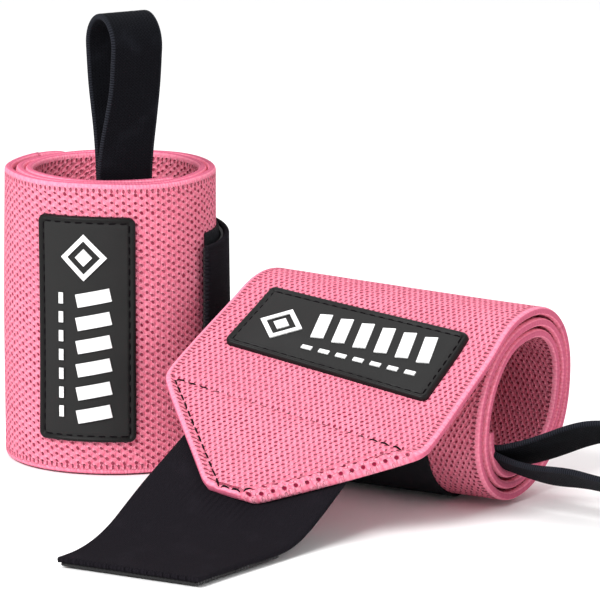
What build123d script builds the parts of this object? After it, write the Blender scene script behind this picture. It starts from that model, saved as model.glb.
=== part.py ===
"""A pair of elastic wrist wraps: one rolled and standing, one rolled and lying with its end opened.

Each wrap is one long knitted elastic band. Its outer end is folded to a point, with a hook strap sewn
under it, its inner end carries a thumb loop, and a loop patch on its outer face takes the hooks.
Millimetres, +Z up. Both wraps rest on the plane z = 0.
"""
import math
import os
from dataclasses import dataclass

from build123d import *

# ---- the band and what is sewn to it -------------------------------------------------------------
band_width = 80.0
band_length = 448.0
band_thickness = 2.2
point_length = 34.0        # from the folded corners to the tip
tip_width = 15.0
label_length = 62.0
label_height = 26.5
label_thickness = 1.2
label_corner = 1.6
label_margin = 9.0         # from the label's end to the band's lower or right-hand edge
emblem_relief = 0.35
strap_width = 48.0
strap_thickness = 1.5
strap_tail = 50.0          # beyond the tip
strap_overlap = 27.0       # sewn under the point
hook_thickness = 1.0
hook_length = 36.0
patch_thickness = 0.8
patch_start = 141.0        # along the band, from its tip
patch_length = 78.0
loop_width = 15.0
loop_thickness = 1.6
loop_reach = 44.0          # beyond the band's edge
loop_gap = 12.5            # between the strands, where they are widest
loop_sewn = 12.0           # depth of the sewn end on the inner wall
loop_from_end = 14.0       # from the band's inner end to the loop's middle
thread = 0.5
thread_rise = 0.3
stitch_length = 2.6
stitch_pitch = 3.6
clearance = 0.3            # between pieces that move on each other
sheet_step = 8.0           # between the points that draw a free end's section

# ---- the standing wrap ---------------------------------------------------------------------------
standing_radius = 31.4     # outer face of the roll
standing_gap = 0.3         # air between two of its turns
standing_tip_angle = 53.0
standing_hinge = 36.0      # along the band, from its tip, where the end peels off
standing_label_start = 92.0
standing_x = -55.195
standing_y = 64.352

# ---- the lying wrap ------------------------------------------------------------------------------
lying_radius = 25.5
lying_gap = 0.8            # air between two of its turns
lying_oval = 6.3           # the roll leans: two quarters are this much tighter, and two wider
lying_turn = -35.0         # the roll's axis, from +X, pointing out of its right-hand end
lying_hinge_angle = 115.0  # where the end starts to lift off the roll, 90 being the top
lying_hinge = 106.5        # along the band, from its tip
lying_leave = 62.0         # degrees that the right-hand edge stays on the roll
lying_sweep = 29.6         # length of its stretch that flattens out, and by how much
lying_flatten = 8.3
lying_lift = 5.5           # straight rise of the left-hand edge, and the hump that follows it
lying_hump = 24.5
lying_hump_turn = 48.8
lying_label_start = 52.0
lying_bend_radius = 60.0   # of the strap, where it meets the table
lying_tail_rise = 0.1      # of its hooks above the table, because it twists a little
lying_x = 18.804
lying_y = 23.752

standing_pitch = band_thickness + standing_gap
lying_pitch = band_thickness + lying_gap
half = band_thickness / 2
lap_drop = (band_thickness + strap_thickness + hook_thickness + patch_thickness + clearance) / 2


class Path:
    """Middle line of a strip in its section plane: runs of a length and a turn, from its outer end."""

    def __init__(self, start, heading, runs, begin=0.0):
        self.runs = []
        x, y = start
        at = begin
        for length, turn in runs:
            self.runs.append((at, length, turn, x, y, heading))
            x, y, heading = self.step(x, y, heading, length, turn)
            at += length
        self.end = at

    @staticmethod
    def step(x, y, heading, length, turn):
        start = math.radians(heading)
        stop = math.radians(heading + turn)
        if turn == 0:
            return x + length * math.cos(start), y + length * math.sin(start), heading
        radius = length / math.radians(turn)
        x += radius * (math.sin(stop) - math.sin(start))
        y -= radius * (math.cos(stop) - math.cos(start))
        return x, y, heading + turn

    def at(self, along, out=0.0):
        """Point `out` to the right of the middle line, which is a roll's outer side, and the heading."""
        begin, length, turn, x, y, heading = [run for run in self.runs if run[0] <= along + 1e-9][-1]
        share = (along - begin) / length
        x, y, heading = self.step(x, y, heading, along - begin, turn * share)
        side = math.radians(heading)
        return (x + out * math.sin(side), y - out * math.cos(side)), heading

    def face(self, first, last, out):
        """Draw one face of the strip between two lengths, in the current BuildLine."""
        for begin, length, turn, *_ in self.runs:
            low = max(first, begin)
            high = min(last, begin + length)
            if high - low < 1e-6:
                continue
            ends = self.at(low, out)[0], self.at(high - 1e-9, out)[0]
            if turn == 0:
                Line(*ends)
            else:
                ThreePointArc(ends[0], self.at((low + high) / 2, out)[0], ends[1])


class Sheet:
    """A strip's free end: a surface ruled between two edge paths, both measured outward from its start."""

    def __init__(self, section, low, high, span):
        self.section = section
        self.edges = low, high
        self.span = span

    def at(self, along, out, across):
        """Point on a face, in space, and how the sheet runs on there in its section plane."""
        share = (across - self.span[0]) / (self.span[1] - self.span[0])
        points = []
        for edge in self.edges:
            (x, y), heading = edge.at(along, -out)
            points.append((x, y, math.cos(math.radians(heading)), math.sin(math.radians(heading))))
        x, y, run_x, run_y = (low + share * (high - low) for low, high in zip(*points))
        return self.section.from_local_coords(Vector(x, y, across)), (run_x, run_y)

    def skin(self, along, out, across):
        """Plane on a face: x back along the sheet, z outward."""
        origin, (run_x, run_y) = self.at(along, out, across)
        ahead = self.section.from_local_coords(Vector(run_x, run_y, 0)) - self.section.origin
        beside = self.at(along, out, across + 1)[0] - origin
        normal = beside.cross(ahead)
        return Plane(origin=origin, x_dir=ahead * -1, z_dir=normal)

    def add(self, along, out, across):
        """Add a stretch of the sheet to the current part; each pair is (from, to)."""
        count = max(2, round((along[1] - along[0]) / sheet_step)) + 1
        places = [along[0] + (along[1] - along[0]) * index / (count - 1) for index in range(count)]
        outlines = []
        for place in across:
            outline = self.section.offset(place)
            faces = [[outline.to_local_coords(self.at(length, face, place)[0]) for length in places]
                     for face in out]
            with BuildSketch(outline) as profile:
                with BuildLine():
                    Spline(*[(point.X, point.Y) for point in faces[0]])
                    Spline(*[(point.X, point.Y) for point in faces[1]])
                    for end in (0, -1):
                        Line(*[(face[end].X, face[end].Y) for face in faces])
                make_face()
            outlines.append(profile.sketch)
        loft(outlines, ruled=True)


@dataclass
class Wrap:
    """One wrap: its section plane, whose normal runs across the band, its roll, end and strap tail."""
    name: str
    section: Plane
    roll: Path
    end: Sheet
    tail: Sheet
    hinge: float
    label_start: float
    loop_edge: float
    loop_side: int

    def skin(self, along, out, across):
        """Plane on a face of the band, by the length from its tip: x inward, y across, z outward."""
        if along < self.hinge:
            return self.end.skin(self.hinge - along, out, across)
        (x, y), heading = self.roll.at(along, out)
        run = math.radians(heading)
        origin = self.section.from_local_coords(Vector(x, y, across))
        ahead = self.section.from_local_coords(Vector(x + math.cos(run), y + math.sin(run), across))
        outward = self.section.from_local_coords(Vector(x + math.sin(run), y - math.cos(run), across))
        return Plane(origin=origin, x_dir=ahead - origin, z_dir=outward - origin)

    def add(self, along, out, across):
        """Add a stretch of band, or of something that lies on it, to the current part."""
        if along[1] <= self.hinge:
            self.end.add((self.hinge - along[1], self.hinge - along[0]), out, across)
        else:
            strip(self.section, self.roll, along, out, across)


def strip(plane, path, along, out, across):
    """Add a stretch of a strip of one section to the current part; each pair is (from, to)."""
    with BuildSketch(plane.offset(across[0])) as profile:
        with BuildLine():
            path.face(*along, out[0])
            path.face(*along, out[1])
            for place in (along[0], along[1] - 1e-9):
                Line(path.at(place, out[0])[0], path.at(place, out[1])[0])
        make_face()
    extrude(profile.sketch, amount=across[1] - across[0])


def coil(radius, drops, length):
    """Half-turns whose radius drops at each, up to a given length."""
    runs = []
    for drop in drops:
        run = min(math.pi * radius, length)
        runs.append((run, math.degrees(run / radius)))
        length -= run
        radius -= drop
        if length < 1e-6:
            break
    return runs


def oval_coil(angle, radius, oval, pitch, length):
    """Quarter-turns of a leaning oval roll from an angle on a tight one, up to a given length."""
    runs = []
    while length > 1e-6:
        turn = 90 - angle % 90
        bend = radius - oval
        run = min(math.radians(turn) * bend, length)
        runs.append((run, math.degrees(run / bend)))
        length -= run
        angle += turn
        radius -= pitch / 4
        oval = -oval
    return runs


def stitches(wrap, corners, out, rise):
    """Add a row of stitches along each side of a polygon of (along, across) corners."""
    for start, stop in zip(corners, corners[1:] + corners[:1]):
        run = math.dist(start, stop)
        count = max(1, round(run / stitch_pitch))
        angle = math.degrees(math.atan2(stop[1] - start[1], stop[0] - start[0]))
        for index in range(count):
            share = (index + 0.5) / count
            along = start[0] + share * (stop[0] - start[0])
            across = start[1] + share * (stop[1] - start[1])
            with BuildSketch(wrap.skin(along, out, across)) as stitch:
                SlotOverall(stitch_length, thread, rotation=angle)
            extrude(stitch.sketch, amount=rise)


def write(part, wrap, piece):
    part.label = f"{wrap.name}_{piece}"
    export_step(part, f"parts/{part.label}.step")


def outward(path, along):
    """Start and heading of a path that leaves another one at a length and runs back along it."""
    start, heading = path.at(along)
    return start, heading + 180


# ---- the standing wrap's paths -------------------------------------------------------------------
middle = band_width / 2
strap_span = (middle - strap_width / 2, middle + strap_width / 2)
standing_section = Plane(origin=(standing_x, standing_y, 0))
standing_middle = standing_radius - half
tip = math.radians(standing_tip_angle)
standing_drops = [lap_drop] + [standing_pitch / 2] * 12
standing_roll = Path((standing_middle * math.cos(tip), standing_middle * math.sin(tip)),
                     standing_tip_angle + 90, coil(standing_middle, standing_drops, band_length))
standing_edge = Path(*outward(standing_roll, standing_hinge),
                     [(standing_hinge, -math.degrees(standing_hinge / standing_middle))])
under = half + strap_thickness / 2
tail_start, tail_heading = standing_edge.at(standing_hinge, under)
tail_radius = standing_middle - under + lap_drop
standing_tail = Path(tail_start, tail_heading, [(strap_tail, -math.degrees(strap_tail / tail_radius))])

# ---- the lying wrap's paths ----------------------------------------------------------------------
lying_middle = lying_radius - half
lying_rise = lying_radius - lying_pitch / 4 + patch_thickness
turn = math.radians(lying_turn)
axis = Vector(math.cos(turn), math.sin(turn), 0)
toward = Vector(math.sin(turn), -math.cos(turn), 0)
right_end = Vector(lying_x, lying_y, lying_rise) + axis * middle
lying_section = Plane(origin=right_end, x_dir=toward, z_dir=axis * -1)
tight = lying_middle - lying_oval
wide = lying_middle + lying_oval
lift = math.radians(lying_hinge_angle)
lying_start = (tight * math.cos(lift) - lying_oval, tight * math.sin(lift) + lying_oval)
lying_roll = Path(lying_start, lying_hinge_angle + 90,
                  oval_coil(lying_hinge_angle, lying_middle, lying_oval, lying_pitch,
                            band_length - lying_hinge), lying_hinge)
over = lying_hinge_angle - 90
hugging = tight * math.radians(over) + wide * math.radians(lying_leave - over)
lying_low = Path(*outward(lying_roll, lying_hinge),
                 [(tight * math.radians(over), -over),
                  (wide * math.radians(lying_leave - over), over - lying_leave),
                  (lying_sweep, lying_flatten), (lying_hinge - hugging - lying_sweep, 0)])
lying_high = Path(*outward(lying_roll, lying_hinge),
                  [(lying_lift, 0), (lying_hump, -lying_hump_turn),
                   (lying_hinge - lying_lift - lying_hump, 0)])
lying_end = Sheet(lying_section, lying_low, lying_high, (0, band_width))


def tail_edge(across):
    """Edge of the lying strap's tail: on along the point's slope, then bent flat onto the table."""
    point, (run_x, run_y) = lying_end.at(lying_hinge, -under, across)
    start = lying_section.to_local_coords(point)
    slope = math.atan2(-run_y, run_x)
    drop = start.Y + lying_rise - lying_tail_rise - hook_thickness - strap_thickness / 2
    radius = min(lying_bend_radius, drop / (1 - math.cos(slope)))
    glide = (drop - radius * (1 - math.cos(slope))) / math.sin(slope)
    bend = radius * slope
    return Path((start.X, start.Y), -math.degrees(slope),
                [(glide + 0.01, 0), (bend, math.degrees(slope)), (strap_tail - glide - bend, 0)])


wraps = [
    Wrap("standing", standing_section, standing_roll,
         Sheet(standing_section, standing_edge, standing_edge, (0, band_width)),
         Sheet(standing_section, standing_tail, standing_tail, strap_span),
         standing_hinge, standing_label_start, band_width, 1),
    Wrap("lying", lying_section, lying_roll, lying_end,
         Sheet(lying_section, tail_edge(strap_span[0]), tail_edge(strap_span[1]), strap_span),
         lying_hinge, lying_label_start, 0.0, -1),
]

os.makedirs("parts", exist_ok=True)

for wrap in wraps:
    # The long elastic band, from where its end opens to its inner end.
    with BuildPart() as band:
        wrap.add((wrap.hinge + clearance, band_length), (-half, half), (0, band_width))
    write(band.part, wrap, "band")

    # The band's outer end, with its corners folded to a blunt point.
    with BuildPart() as flap:
        wrap.add((0, wrap.hinge), (-half, half), (0, band_width))
        base = wrap.skin(point_length, 0, middle).origin
        blunt = wrap.skin(0, 0, middle).origin
        reach = (base - blunt).length / 2
        with BuildSketch(wrap.skin(point_length / 2, 0, middle)):
            for side in (1, -1):
                with BuildLine():
                    Polyline((reach, side * middle), (-reach, side * tip_width / 2),
                             (-2 * reach, side * tip_width / 2), (-2 * reach, side * band_width),
                             (reach, side * band_width), close=True)
                make_face()
        extrude(amount=standing_radius / 2, both=True, mode=Mode.SUBTRACT)
    write(flap.part, wrap, "flap")

    # The soft patch on the outer face that the hooks close on.
    with BuildPart() as loop_patch:
        wrap.add((patch_start, patch_start + patch_length), (half, half + patch_thickness), strap_span)
    write(loop_patch.part, wrap, "loop_patch")

    # The hook strap: its end sewn under the point, its free tail, and the hook tape below the tail.
    with BuildPart() as strap_tab:
        wrap.add((0, strap_overlap), (-half - strap_thickness, -half), strap_span)
    write(strap_tab.part, wrap, "strap_tab")
    strap_half = strap_thickness / 2
    with BuildPart() as hook_strap:
        wrap.tail.add((clearance, strap_tail), (-strap_half, strap_half), strap_span)
    write(hook_strap.part, wrap, "hook_strap")
    with BuildPart() as hook_tape:
        wrap.tail.add((strap_tail - hook_length, strap_tail), (-strap_half - hook_thickness, -strap_half),
                      strap_span)
    write(hook_tape.part, wrap, "hook_tape")

    # The raised rubber label, its emblem and its thread.
    label_span = (label_margin, label_margin + label_length)
    label_run = (wrap.label_start, wrap.label_start + label_height)
    label_top = half + label_thickness
    label_middle = wrap.label_start + label_height / 2
    label_centre = label_margin + label_length / 2
    centre = wrap.skin(label_middle, label_top, label_centre)
    label_ends = [wrap.skin(length, label_top, label_centre).origin for length in label_run]
    chord = (label_ends[1] - label_ends[0]).length
    with BuildPart() as label:
        wrap.add(label_run, (half, label_top), label_span)
        with BuildSketch(centre):
            RectangleRounded(chord, label_length, label_corner)
        extrude(amount=label_height, both=True, mode=Mode.INTERSECT)
    write(label.part, wrap, "label")
    with BuildPart() as emblem:
        wrap.add(label_run, (label_top, label_top + emblem_relief), label_span)
        with BuildSketch(centre):
            with Locations((0, label_length / 2 - 11)):
                RegularPolygon(6.4, 4)
                RegularPolygon(4.6, 4, mode=Mode.SUBTRACT)
                RegularPolygon(2.4, 4)
            with Locations((2.6, -7)):
                with GridLocations(0, 6.4, 1, 6):
                    Rectangle(9.5, 3.6, rotation=12)
            with Locations((-6.6, -7)):
                with GridLocations(0, 5.2, 1, 7):
                    Rectangle(1.3, 3.0)
        extrude(amount=label_height, both=True, mode=Mode.INTERSECT)
    write(emblem.part, wrap, "label_emblem")
    inset = 1.7
    corners = [(label_run[0] + inset, label_span[0] + inset), (label_run[1] - inset, label_span[0] + inset),
               (label_run[1] - inset, label_span[1] - inset), (label_run[0] + inset, label_span[1] - inset)]
    with BuildPart() as label_stitching:
        stitches(wrap, corners, label_top, thread_rise)
    write(label_stitching.part, wrap, "label_stitching")

    # The thread that holds the folded corners and the strap.
    corners = [(point_length, 6.5), (point_length, band_width - 4), (2.0, middle + 3.5), (2.0, middle - 3)]
    with BuildPart() as tip_stitching:
        stitches(wrap, corners, half, thread_rise)
    write(tip_stitching.part, wrap, "tip_stitching")

    # The thumb loop: its two ends sewn on the inner wall, and its free part beyond the band's edge.
    loop_at = band_length - loop_from_end
    loop_run = (loop_at - loop_width / 2, loop_at + loop_width / 2)
    tab_out = (-half - 2 * loop_thickness, -half)
    tab_depth = sorted((wrap.loop_edge, wrap.loop_edge - wrap.loop_side * loop_sewn))
    with BuildPart() as loop_tab:
        wrap.add(loop_run, tab_out, tab_depth)
    write(loop_tab.part, wrap, "loop_tab")
    foot = wrap.skin(loop_at, sum(tab_out) / 2, wrap.loop_edge + wrap.loop_side * clearance)
    bow = Plane(origin=foot.origin, x_dir=foot.y_dir * wrap.loop_side, z_dir=foot.x_dir * wrap.loop_side)
    bow_radius = (loop_gap + loop_thickness) / 2
    bow_centre = loop_reach - clearance - loop_thickness / 2 - bow_radius
    leg_offset = (loop_thickness + clearance) / 2
    spread = math.asin((bow_radius - leg_offset) / bow_centre)
    loop_path = Path((0, -leg_offset), -math.degrees(spread),
                     [(bow_centre * math.cos(spread), 0),
                      (bow_radius * (math.pi + 2 * spread), 180 + 2 * math.degrees(spread)),
                      (bow_centre * math.cos(spread), 0)])
    with BuildPart() as thumb_loop:
        strip(bow, loop_path, (0, loop_path.end), (-loop_thickness / 2, loop_thickness / 2),
              (-loop_width / 2, loop_width / 2))
    write(thumb_loop.part, wrap, "thumb_loop")
    inset = 2.0
    corners = [(loop_run[0] + inset, tab_depth[0] + inset), (loop_run[1] - inset, tab_depth[0] + inset),
               (loop_run[1] - inset, tab_depth[1] - inset), (loop_run[0] + inset, tab_depth[1] - inset)]
    with BuildPart() as loop_stitching:
        stitches(wrap, corners, tab_out[0], -thread_rise)
    write(loop_stitching.part, wrap, "loop_stitching")

    # What the record states: the joints' places and axes, the gap in the loop and the roll's middle.
    for name, plane in (("flap hinge", wrap.skin(wrap.hinge, half, middle)),
                        ("strap hinge", wrap.tail.skin(0, strap_half, middle)),
                        ("loop hinge", wrap.skin(loop_at, tab_out[0], wrap.loop_edge)),
                        ("inner end", wrap.skin(band_length, 0, middle))):
        lines = [[round(value, 4) for value in line] for line in (plane.origin, plane.x_dir, plane.y_dir)]
        print(wrap.name, name, *lines)
    for name, point in (("finger gap", bow.from_local_coords(Vector(bow_centre, 0, 0))),
                        ("roll centre", wrap.section.from_local_coords(Vector(0, 0, middle)))):
        print(wrap.name, name, [round(value, 3) for value in point])
    print(wrap.name, "angles", [round(wrap.roll.at(length)[1] - 90) for length in (loop_at, band_length)])
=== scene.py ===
# %% [markdown]
# # A pair of elastic wrist wraps
# A wrist wrap is a long strip of knitted elastic that is wound round the wrist. Its outer end is folded to a
# point with a hook strap sewn under it, its inner end carries a thumb loop, and a rubber label sits on its
# outer face. Here one wrap stands rolled up on end and the other lies on its side with its end opened.
#
# The imported model is loaded first. It is the frame: every piece made below follows its solids, and the pieces
# attached to its bodies move with them.

# %% Load the frame
import math

import bmesh
import bpy
import numpy as np
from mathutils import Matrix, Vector


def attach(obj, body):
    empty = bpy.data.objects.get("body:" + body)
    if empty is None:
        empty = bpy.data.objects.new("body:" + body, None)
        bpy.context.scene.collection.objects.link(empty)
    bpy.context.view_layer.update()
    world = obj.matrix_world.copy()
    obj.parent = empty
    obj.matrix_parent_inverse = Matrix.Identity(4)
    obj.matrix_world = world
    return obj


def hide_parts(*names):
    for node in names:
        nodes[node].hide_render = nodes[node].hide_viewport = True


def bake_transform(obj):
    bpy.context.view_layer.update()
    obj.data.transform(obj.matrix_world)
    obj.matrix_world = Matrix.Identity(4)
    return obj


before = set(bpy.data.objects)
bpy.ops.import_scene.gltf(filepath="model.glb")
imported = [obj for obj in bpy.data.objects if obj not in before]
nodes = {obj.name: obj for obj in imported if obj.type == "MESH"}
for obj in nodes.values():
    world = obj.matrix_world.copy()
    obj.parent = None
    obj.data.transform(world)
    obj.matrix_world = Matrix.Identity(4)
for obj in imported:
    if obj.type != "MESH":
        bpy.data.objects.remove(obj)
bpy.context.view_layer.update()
MM = 0.001

# %% [markdown]
# ## The strip's path
# Both wraps are one flat strip, and a strip is easiest to think of by three measures: how far along it a
# point is from the tip, how far across it, and how far out of its middle surface. A path turns the first into
# a place: it is a chain of straight runs and arcs, and a roll is half-turns whose radius drops a little each
# time. With that, each piece can be modelled flat and laid into the roll, and the knit's pattern follows it.

# %% Paths of runs and arcs
class Path:
    """Middle line of a strip in its section plane: runs of a length and a turn in degrees."""

    def __init__(self, start, heading, runs, begin=0.0):
        self.runs = []
        x, y = start
        for length, turn in runs:
            self.runs.append((begin, length, turn, x, y, heading))
            x, y, heading = self.step(x, y, heading, length, turn)
            begin += length
        self.end = begin

    @staticmethod
    def step(x, y, heading, length, turn):
        start, stop = math.radians(heading), math.radians(heading + turn)
        if abs(turn) < 1e-9:
            return x + length * math.cos(start), y + length * math.sin(start), heading
        radius = length / math.radians(turn)
        return (x + radius * (math.sin(stop) - math.sin(start)),
                y - radius * (math.cos(stop) - math.cos(start)), heading + turn)

    def at(self, along, out=0.0):
        """Place and heading at a length; out is to the right of the heading."""
        run = self.runs[0]
        for one in self.runs:
            if one[0] <= along + 1e-9:
                run = one
        begin, length, turn, x, y, heading = run
        x, y, heading = self.step(x, y, heading, along - begin, turn * (along - begin) / length)
        side = math.radians(heading)
        return (x + out * math.sin(side), y - out * math.cos(side)), heading


def coil(radius, drops, length):
    """Half-turns whose radius drops at each, up to a given length."""
    runs = []
    for drop in drops:
        run = min(math.pi * radius, length)
        runs.append((run, math.degrees(run / radius)))
        length -= run
        radius -= drop
        if length < 1e-6:
            break
    return runs


def outward(path, along):
    """Start and heading of a path that leaves another one and runs back along it."""
    start, heading = path.at(along)
    return start, heading + 180


class Section:
    """A plane across the strip: x and y in it, and w across the strip."""

    def __init__(self, origin, right, up):
        self.origin, self.right, self.up = (np.array(v, float) for v in (origin, right, up))
        self.across = np.cross(self.right, self.up)

    def point(self, x, y, w):
        return self.origin + x * self.right + y * self.up + w * self.across


# %% [markdown]
# ## Sizes
# Everything is in millimetres until the mesh is made. These are the sizes of the model's own solids, so that
# a strip bent along them lands on the same places.

# %% Sizes of the strip and what is sewn to it
band_width, band_length, band_thickness = 80.0, 448.0, 2.2
point_length, tip_width = 34.0, 15.0
label_length, label_height, label_thickness, label_margin = 62.0, 26.5, 1.2, 9.0
strap_width, strap_thickness, strap_tail, strap_overlap = 48.0, 1.5, 50.0, 27.0
hook_thickness, hook_length = 1.0, 36.0
patch_thickness, patch_start, patch_length = 0.8, 141.0, 78.0
loop_width, loop_thickness, loop_reach, loop_gap = 15.0, 1.6, 44.0, 12.5
loop_sewn, loop_from_end = 12.0, 14.0
clearance = 0.3
half = band_thickness / 2
middle = band_width / 2
strap_low, strap_high = middle - strap_width / 2, middle + strap_width / 2
under = half + strap_thickness / 2

# %% The standing wrap's paths
standing_radius, standing_angle, turn_gap = 31.4, 53.0, 0.3
standing_middle = standing_radius - half
standing_hinge = 36.0
lap_drop = (band_thickness + strap_thickness + hook_thickness + patch_thickness + clearance) / 2
tip = math.radians(standing_angle)
standing_section = Section((-55.195, 64.352, 0), (1, 0, 0), (0, 1, 0))
standing_roll = Path((standing_middle * math.cos(tip), standing_middle * math.sin(tip)), standing_angle + 90,
                     coil(standing_middle, [lap_drop] + [(band_thickness + turn_gap) / 2] * 12, band_length))
standing_edge = Path(*outward(standing_roll, standing_hinge),
                     [(standing_hinge, -math.degrees(standing_hinge / standing_middle))])
tail_start, tail_heading = standing_edge.at(standing_hinge, under)
standing_tail = Path(tail_start, tail_heading,
                     [(strap_tail, -math.degrees(strap_tail / (standing_middle - under + lap_drop)))])

# %% The lying wrap's paths
lying_radius, lying_oval, lying_pitch = 25.5, 6.3, band_thickness + 0.8
lying_middle = lying_radius - half
lying_hinge, lying_hinge_angle, lying_leave = 106.5, 115.0, 62.0
lying_sweep, lying_flatten = 29.6, 8.3
lying_lift, lying_hump, lying_hump_turn = 5.5, 24.5, 48.8
tail_bend, tail_rise = 60.0, 0.1
lying_rise = lying_radius - lying_pitch / 4 + patch_thickness
turn = math.radians(-35.0)
axis = np.array((math.cos(turn), math.sin(turn), 0))
lying_section = Section(np.array((18.804, 23.752, lying_rise)) + axis * middle,
                        (math.sin(turn), -math.cos(turn), 0), (0, 0, 1))


def oval_coil(angle, radius, oval, pitch, length):
    """Quarter-turns of a leaning oval roll from an angle on a tight one, up to a given length."""
    runs = []
    while length > 1e-6:
        quarter = 90 - angle % 90
        bend = radius - oval
        run = min(math.radians(quarter) * bend, length)
        runs.append((run, math.degrees(run / bend)))
        length -= run
        angle += quarter
        radius -= pitch / 4
        oval = -oval
    return runs


tight, wide = lying_middle - lying_oval, lying_middle + lying_oval
lift = math.radians(lying_hinge_angle)
lying_start = (tight * math.cos(lift) - lying_oval, tight * math.sin(lift) + lying_oval)
lying_roll = Path(lying_start, lying_hinge_angle + 90,
                  oval_coil(lying_hinge_angle, lying_middle, lying_oval, lying_pitch,
                            band_length - lying_hinge), lying_hinge)
over = lying_hinge_angle - 90
hugging = tight * math.radians(over) + wide * math.radians(lying_leave - over)
lying_low = Path(*outward(lying_roll, lying_hinge),
                 [(tight * math.radians(over), -over),
                  (wide * math.radians(lying_leave - over), over - lying_leave),
                  (lying_sweep, lying_flatten), (lying_hinge - hugging - lying_sweep, 0)])
lying_high = Path(*outward(lying_roll, lying_hinge),
                  [(lying_lift, 0), (lying_hump, -lying_hump_turn), (lying_hinge - lying_lift - lying_hump, 0)])


def between(edges, share, along, out):
    """Place and run of a strip ruled between two edge paths that are measured outward."""
    found = []
    for edge in edges:
        (x, y), heading = edge.at(along, -out)
        found.append(np.array((x, y, math.cos(math.radians(heading)), math.sin(math.radians(heading)))))
    return found[0] + share * (found[1] - found[0])


def tail_edge(across):
    """Edge of the lying strap's tail: on along the point's slope, then bent flat onto the table."""
    x, y, run_x, run_y = between((lying_low, lying_high), across / band_width, lying_hinge, -under)
    slope = math.atan2(-run_y, run_x)
    drop = y + lying_rise - tail_rise - hook_thickness - strap_thickness / 2
    radius = min(tail_bend, drop / (1 - math.cos(slope)))
    glide = (drop - radius * (1 - math.cos(slope))) / math.sin(slope)
    bend = radius * slope
    return Path((x, y), -math.degrees(slope),
                [(glide + 0.01, 0), (bend, math.degrees(slope)), (strap_tail - glide - bend, 0)])


# %% [markdown]
# ## From strip to space
# One small class for each wrap answers where a point of the strip lies. Knitted elastic is never a perfect
# cylinder, so the answer also carries a slow ripple. It depends only on the angle round the roll and the
# place across it, so that neighbouring turns move together and never cut into each other.

# %% Where a point of each strip lies
class Wrap:
    def __init__(self, name, section, roll, ends, tails, hinge, label_start, loop_edge, loop_side):
        self.name, self.section, self.roll, self.ends, self.tails = name, section, roll, ends, tails
        self.hinge, self.label_start, self.loop_edge, self.loop_side = hinge, label_start, loop_edge, loop_side

    def ripple(self, x, y, across):
        """The same place a little further from the roll's axis, or nearer to it."""
        reach, angle = math.hypot(x, y), math.atan2(y, x)
        wave = 0.22 * math.sin(2 * angle + 0.8 + across / 23) + 0.12 * math.sin(5 * angle + 1.3 + across / 14)
        wave *= max(0.0, min(1.0, (40 - reach) / 8))
        if self.name == "lying":
            wave *= 0.5 + 0.5 * math.sin(angle)
        return x * (1 + wave / max(reach, 1)), y * (1 + wave / max(reach, 1))

    def place(self, along, across, out):
        """Point in space, in millimetres, of the band or of something that lies on it."""
        if along < self.hinge:
            x, y = between(self.ends, across / band_width, self.hinge - along, out)[:2]
        else:
            (x, y), _ = self.roll.at(along, out)
        x, y = self.ripple(x, y, across)
        edge = 0.2 * math.sin(along / 13 + 1) + 0.12 * math.sin(along / 5.3)
        share = across / band_width if self.name == "standing" else 1 - across / band_width
        return self.section.point(x, y, across + edge * share * self.loop_side)

    def place_tail(self, along, across, out):
        """The same for the hook strap, whose length is below 0 where it is sewn under the point."""
        if along <= 0:
            return self.place(-along, across, out - under)
        x, y = between(self.tails, (across - strap_low) / strap_width, along, out)[:2]
        x, y = self.ripple(x, y, across)
        return self.section.point(x, y, across)


wraps = [
    Wrap("standing", standing_section, standing_roll, (standing_edge, standing_edge),
         (standing_tail, standing_tail), standing_hinge, 92.0, band_width, 1),
    Wrap("lying", lying_section, lying_roll, (lying_low, lying_high),
         (tail_edge(strap_low), tail_edge(strap_high)), lying_hinge, 52.0, 0.0, -1),
]
for wrap in wraps:
    print(wrap.name, "tip at", np.round(wrap.place(0, middle, 0), 1), "mm")

# %% [markdown]
# ## Short words for node trees
# A shader written in code is a chain of small sums. These helpers add one node each and return its output, so
# that a pattern below reads like the formula it is.

# %% Node helpers
def feed(tree, socket, value):
    if isinstance(value, bpy.types.NodeSocket):
        tree.links.new(value, socket)
    else:
        socket.default_value = value


def math_node(tree, operation, *values):
    node = tree.nodes.new("ShaderNodeMath")
    node.operation = operation
    for socket, value in zip(node.inputs, values):
        feed(tree, socket, value)
    return node.outputs[0]


def times(tree, first, second):
    return math_node(tree, "MULTIPLY", first, second)


def square(tree, value, size):
    """value over size, squared."""
    return math_node(tree, "POWER", math_node(tree, "DIVIDE", value, size), 2.0)


def zigzag(tree, value):
    """value folded to run from 0 up to a half and back."""
    return math_node(tree, "PINGPONG", value, 0.5)


def within(tree, value):
    """How far value is from the middle of its whole step."""
    return math_node(tree, "SUBTRACT", math_node(tree, "FRACT", value), 0.5)


def parts(tree, vector):
    node = tree.nodes.new("ShaderNodeSeparateXYZ")
    tree.links.new(vector, node.inputs[0])
    return node.outputs


def ramp(tree, value, low, high, to_low=0.0, to_high=1.0):
    """value mapped smoothly from low..high to another range."""
    node = tree.nodes.new("ShaderNodeMapRange")
    node.interpolation_type = "SMOOTHSTEP"
    for name, number in (("Value", value), ("From Min", low), ("From Max", high), ("To Min", to_low),
                         ("To Max", to_high)):
        feed(tree, node.inputs[name], number)
    return node.outputs[0]


def mix(tree, share, first, second):
    """Two colours mixed by a share."""
    node = tree.nodes.new("ShaderNodeMix")
    node.data_type = "RGBA"
    feed(tree, node.inputs[0], share)
    for socket, value in ((node.inputs[6], first), (node.inputs[7], second)):
        feed(tree, socket, (*value, 1.0) if isinstance(value, tuple) and len(value) == 3 else value)
    return node.outputs[2]


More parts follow.
